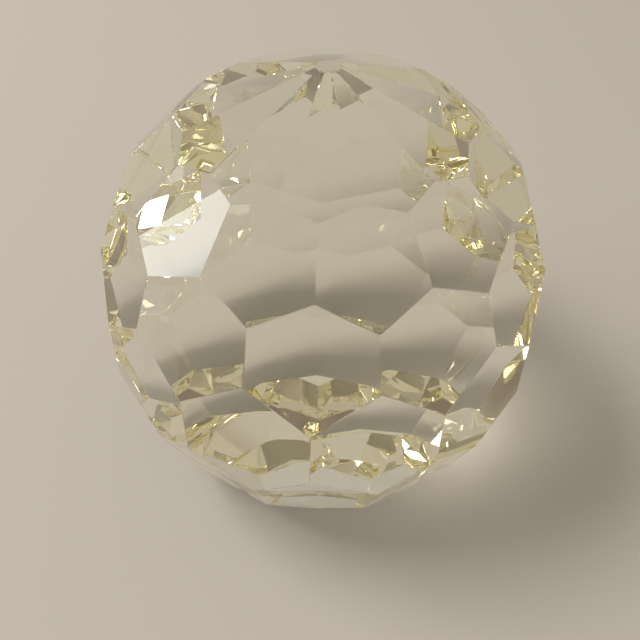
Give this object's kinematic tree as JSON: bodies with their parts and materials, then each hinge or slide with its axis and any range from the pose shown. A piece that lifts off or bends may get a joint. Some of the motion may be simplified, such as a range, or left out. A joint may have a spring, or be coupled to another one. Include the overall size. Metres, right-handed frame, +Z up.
{
  "type": "faceted glass ball paperweight",
  "caption": "Solid cut-glass ball paperweight, ground all over with six rings of twelve flat facets, with a small flat top facet and a flat base to stand on.",
  "frame": {"origin": "centre of the flat base, on the surface the ball stands on", "axes": "+Z up along the ball's upright axis, out through the top facet; -Y is the front, and one facet of the upper ring faces it"},
  "size_m": [0.0792, 0.0792, 0.0762],
  "materials": {
    "crystal": "clear cut glass with a pale straw tint, facets polished flat with crisp edges"
  },
  "bodies": {
    "root": {"faceted_crystal_ball": "crystal"}
  },
  "joints": []
}
